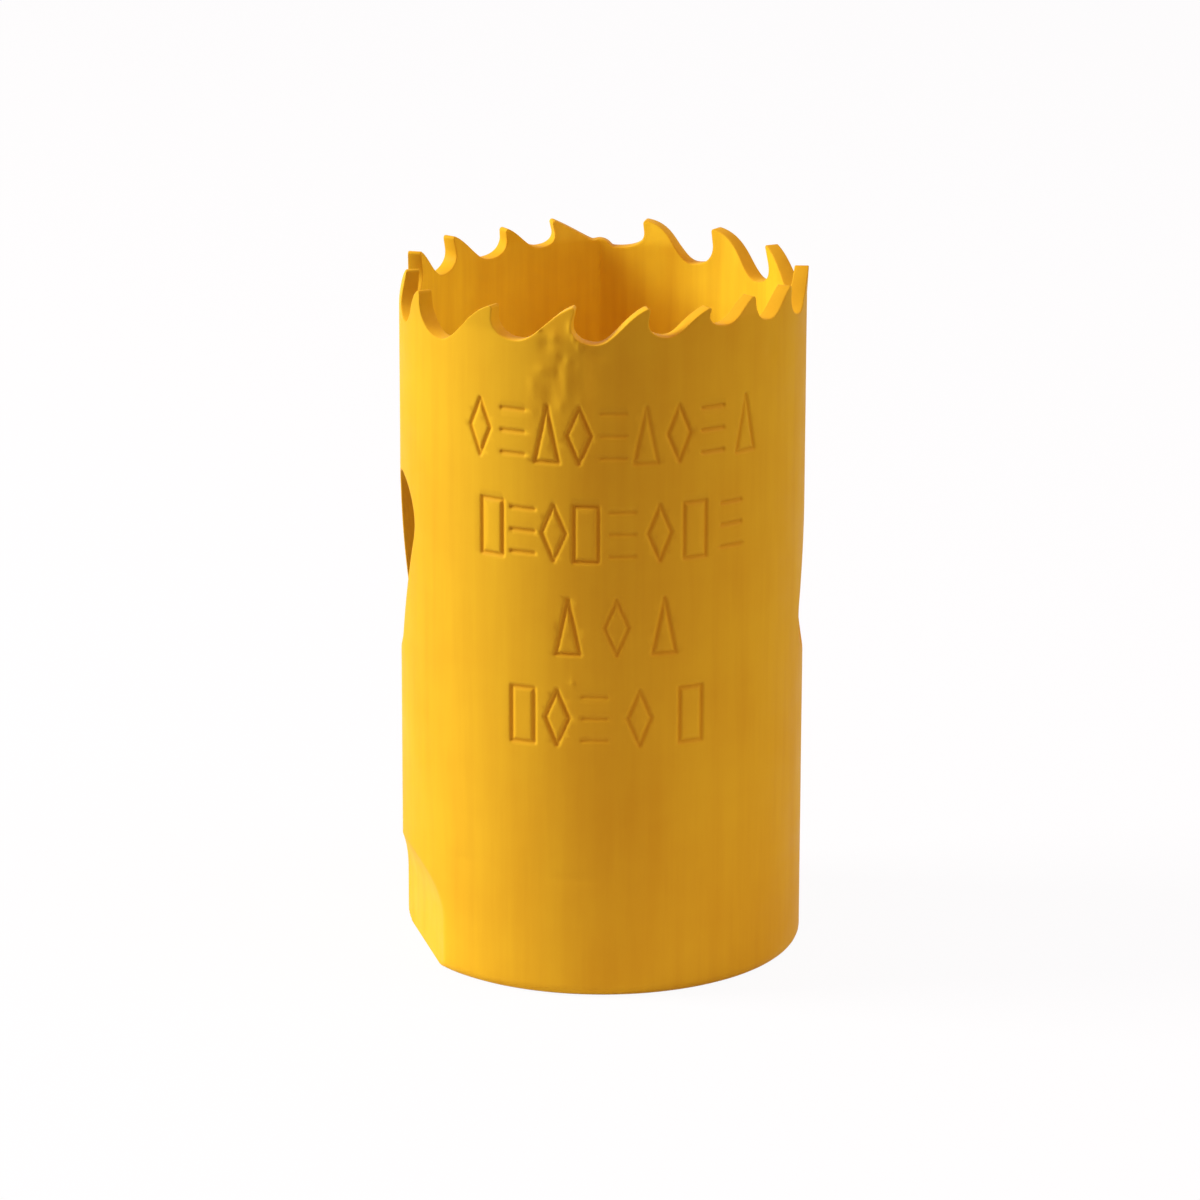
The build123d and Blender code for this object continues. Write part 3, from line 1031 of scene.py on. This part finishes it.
def camera():
    """A long lens, a little above the rim."""
    data = bpy.data.cameras.new("camera")
    data.sensor_width = CAMERA_SENSOR
    data.lens = CAMERA_LENS
    shown = bpy.data.objects.new("camera", data)
    tilt = Euler((radians(90 - CAMERA_DOWN), 0, radians(CAMERA_TURN)), "XYZ").to_matrix()
    roll = Matrix.Rotation(radians(CAMERA_ROLL), 3, "Z")
    shown.matrix_world = Matrix.Translation(CAMERA_PLACE) @ (tilt @ roll).to_4x4()
    bpy.context.collection.objects.link(shown)
    bpy.context.scene.camera = shown


# Operators and panel ---------------------------------------------------------
class OBJECT_OT_hole_saw_shell(bpy.types.Operator):
    """Builds the toothed strip with its slots, flat, marks and weld"""

    bl_idname = "object.hole_saw_shell"
    bl_label = "Toothed Shell"

    def execute(self, context):
        piece = toothed_shell(in_mm(context.scene.hole_saw_sizes))
        piece.data.materials.append(enamel_on_steel(context.scene.hole_saw_finish))
        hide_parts("toothed_shell")
        return {"FINISHED"}


class OBJECT_OT_hole_saw_cap(bpy.types.Operator):
    """Builds the back plate with its tapped hole"""

    bl_idname = "object.hole_saw_cap"
    bl_label = "Arbor Cap"

    def execute(self, context):
        piece = arbor_cap(in_mm(context.scene.hole_saw_sizes))
        piece.data.materials.append(enamel_on_steel(context.scene.hole_saw_finish))
        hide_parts("arbor_cap")
        return {"FINISHED"}


class SCENE_OT_hole_saw_studio(bpy.types.Operator):
    """Builds the floor, the softboxes, the room and the camera"""

    bl_idname = "scene.hole_saw_studio"
    bl_label = "Studio"

    def execute(self, context):
        studio(context.scene.hole_saw_studio)
        camera()
        context.scene.view_settings.view_transform = "Standard"
        return {"FINISHED"}


class VIEW3D_PT_hole_saw(bpy.types.Panel):
    """Sizes, finish and steps of the hole saw"""

    bl_label = "Hole Saw"
    bl_idname = "VIEW3D_PT_hole_saw"
    bl_space_type = "VIEW_3D"
    bl_region_type = "UI"
    bl_category = "Hole Saw"

    def draw(self, context):
        for name in ("hole_saw_sizes", "hole_saw_finish", "hole_saw_studio"):
            group = getattr(context.scene, name)
            box = self.layout.box()
            for prop in group.__annotations__:
                box.prop(group, prop)
        for step in STEPS:
            self.layout.operator(step.bl_idname)


STEPS = (OBJECT_OT_hole_saw_shell, OBJECT_OT_hole_saw_cap, SCENE_OT_hole_saw_studio)
GROUPS = {
    "hole_saw_sizes": HoleSawSizes,
    "hole_saw_finish": HoleSawFinish,
    "hole_saw_studio": HoleSawStudio,
}


def register():
    for kind in (*GROUPS.values(), *STEPS, VIEW3D_PT_hole_saw):
        bpy.utils.register_class(kind)
    for name, kind in GROUPS.items():
        setattr(bpy.types.Scene, name, PointerProperty(type=kind))


def unregister():
    for name in GROUPS:
        delattr(bpy.types.Scene, name)
    for kind in (VIEW3D_PT_hole_saw, *STEPS[::-1], *GROUPS.values()):
        bpy.utils.unregister_class(kind)


def main():
    """Builds each piece and the stage in order."""
    register()
    bpy.ops.object.hole_saw_shell()
    bpy.ops.object.hole_saw_cap()
    bpy.ops.scene.hole_saw_studio()


if __name__ == "__main__":
    main()
